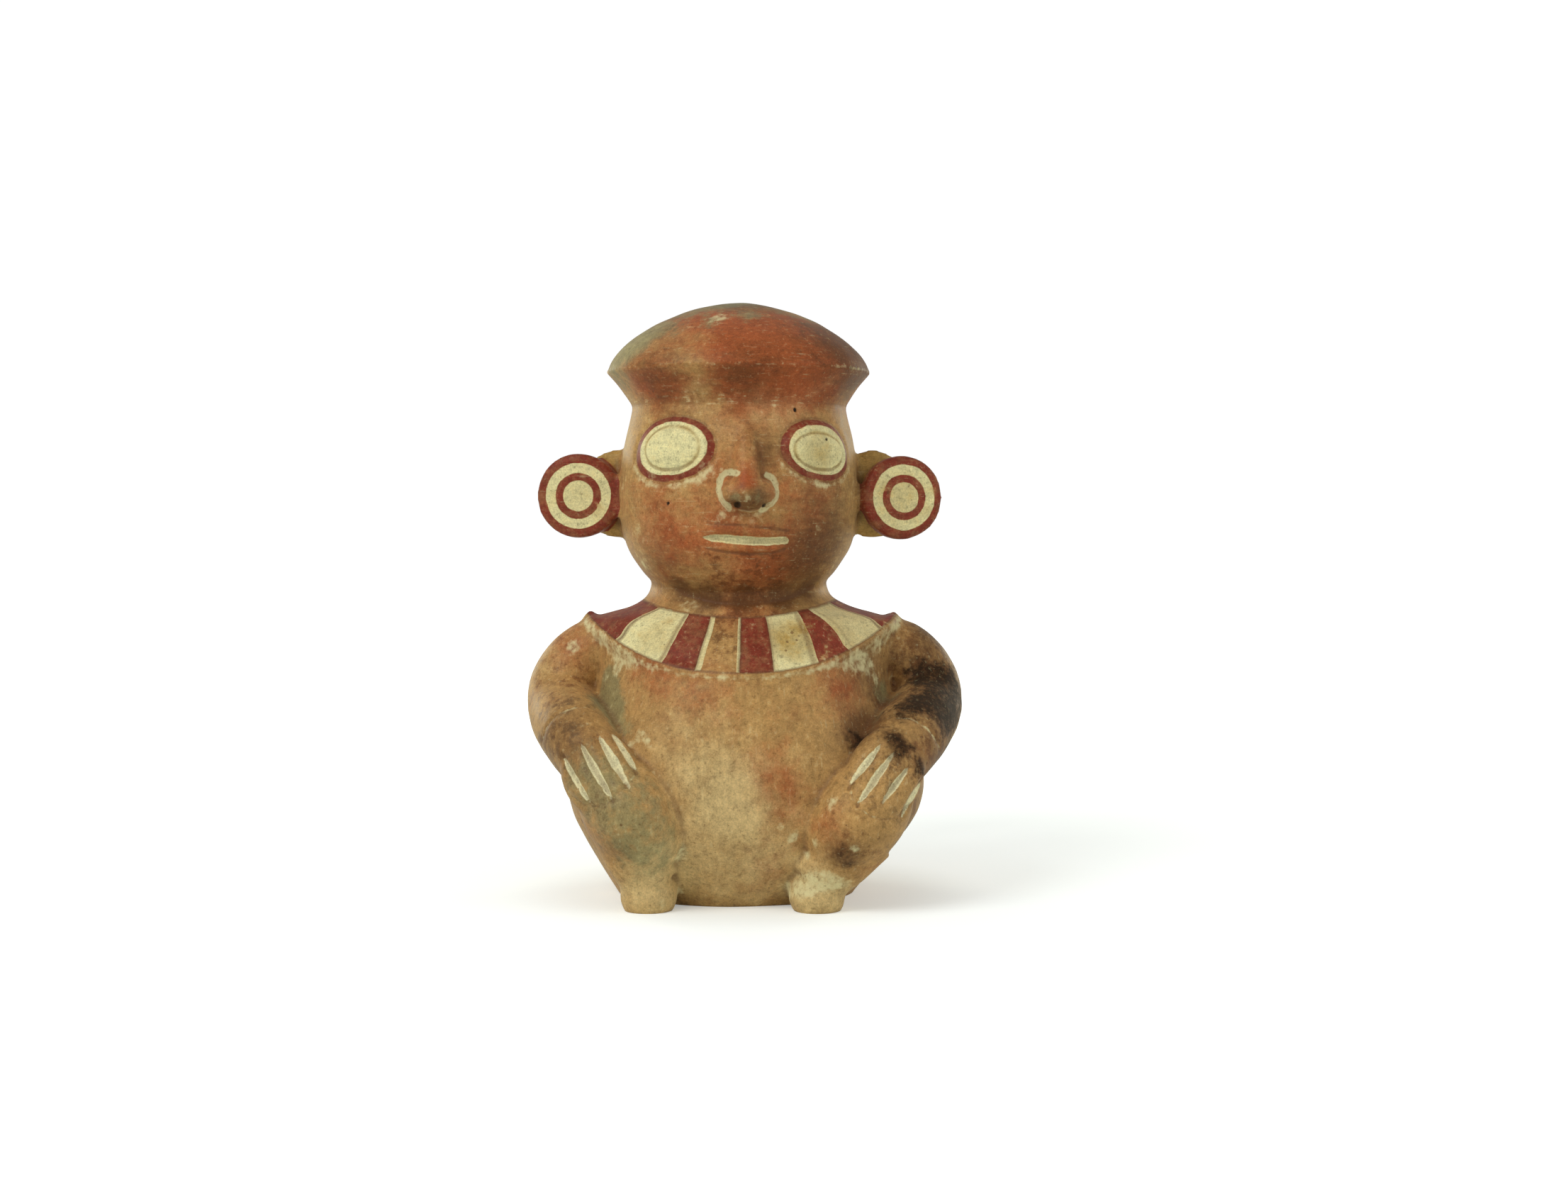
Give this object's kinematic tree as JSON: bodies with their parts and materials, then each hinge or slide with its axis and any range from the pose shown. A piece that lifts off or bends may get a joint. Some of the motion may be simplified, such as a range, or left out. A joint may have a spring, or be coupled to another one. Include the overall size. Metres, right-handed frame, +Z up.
{
  "type": "stirrup spout vessel",
  "caption": "Hollow earthenware bottle shaped as a seated figure in cap, ear discs and striped collar, poured from a stirrup spout at its back.",
  "frame": {"origin": "on the flat underside, below the middle of the body", "axes": "+Z up; the figure faces -Y and the stirrup is behind it at +Y; +X is to the right as the viewer sees it"},
  "size_m": [0.1688, 0.1881, 0.2298],
  "materials": {
    "earthenware": "low-fired clay under worn orange, red and cream slips, burnished to a dull sheen"
  },
  "bodies": {
    "root": {"vessel": "earthenware"}
  },
  "joints": []
}
